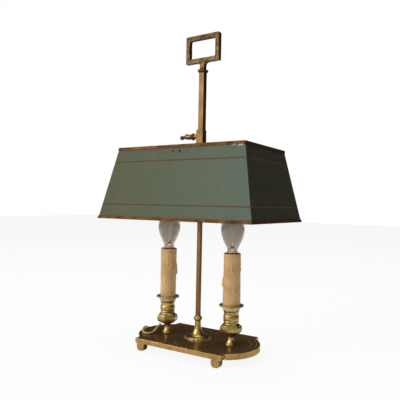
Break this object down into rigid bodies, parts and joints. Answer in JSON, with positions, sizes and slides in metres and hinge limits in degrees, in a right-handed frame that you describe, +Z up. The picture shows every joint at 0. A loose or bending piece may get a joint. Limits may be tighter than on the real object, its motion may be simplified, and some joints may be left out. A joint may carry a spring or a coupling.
{
  "type": "bouillotte lamp",
  "caption": "Desk lamp with two candle lights on a footed plate, a square stem with a loop handle, and an oblong metal shade that slides on the stem.",
  "frame": {"origin": "on the table, under the middle of the lamp", "axes": "+Z up along the stem, +X along the row of candles towards the right one as pictured, -Y towards the side that the picture shows"},
  "size_m": [0.267, 0.1756, 0.4908],
  "materials": {
    "patinated_brass": "polished, dark patina",
    "brass": "polished",
    "tube_brass": "satin",
    "aged_brass": "aged",
    "steel": "satin",
    "green_paint": "satin, worn",
    "rim_gilt": "satin, worn gilding",
    "rivet_metal": "dark",
    "candle_cream": "waxy",
    "dark_plastic": "matte",
    "cap_metal": "polished",
    "clear_glass": "clear",
    "flex": "satin",
    "ivory_plastic": "satin"
  },
  "bodies": {
    "base": {"base_plate": "patinated_brass", "cord_coil": "flex", "cord_to_coil": "flex", "cord_to_plug": "flex", "cord_to_switch": "flex", "foot_back_left": "brass", "foot_back_right": "brass", "foot_front_left": "brass", "foot_front_right": "brass", "left_bulb_cap": "cap_metal", "left_bulb_glass": "clear_glass", "left_bulb_mount": "clear_glass", "left_cup": "brass", "left_lampholder": "dark_plastic", "left_nipple": "steel", "left_nut": "steel", "left_pan": "brass", "left_sleeve": "candle_cream", "link_wire": "flex", "plug_blades": "cap_metal", "plug_body": "ivory_plastic", "right_bulb_cap": "cap_metal", "right_bulb_glass": "clear_glass", "right_bulb_mount": "clear_glass", "right_cup": "brass", "right_lampholder": "dark_plastic", "right_nipple": "steel", "right_nut": "steel", "right_pan": "brass", "right_sleeve": "candle_cream", "stem_nut": "steel", "stem_rod": "brass", "stem_socket": "brass", "stem_washer": "steel", "switch_case": "ivory_plastic"},
    "shade_lift": {"lift_tube": "tube_brass", "tube_collar": "tube_brass", "handle": "brass", "shade_bridge": "tube_brass", "bridge_rivets": "rivet_metal", "shade_front_panel": "green_paint", "shade_back_panel": "green_paint", "shade_left_panel": "green_paint", "shade_right_panel": "green_paint", "shade_low_rim": "rim_gilt", "shade_top_rim": "rim_gilt"},
    "key": {"thumb_key": "aged_brass"},
    "rocker": {"switch_rocker": "ivory_plastic"}
  },
  "joints": [
    {"name": "shade_slide", "type": "slide", "parent": "base", "child": "shade_lift", "axis": [0, 0, 1], "range_m": [-0.06, 0.03]},
    {"name": "key_turn", "type": "hinge", "parent": "shade_lift", "child": "key", "pos_m": [-0.015, 0, 0.332], "axis": [1, 0, 0], "range_deg": [0, 180]},
    {"name": "rocker_tilt", "type": "hinge", "parent": "base", "child": "rocker", "pos_m": [0.018, 0.0705, 0.0078], "axis": [0, 1, 0], "range_deg": [-16, 0]}
  ]
}
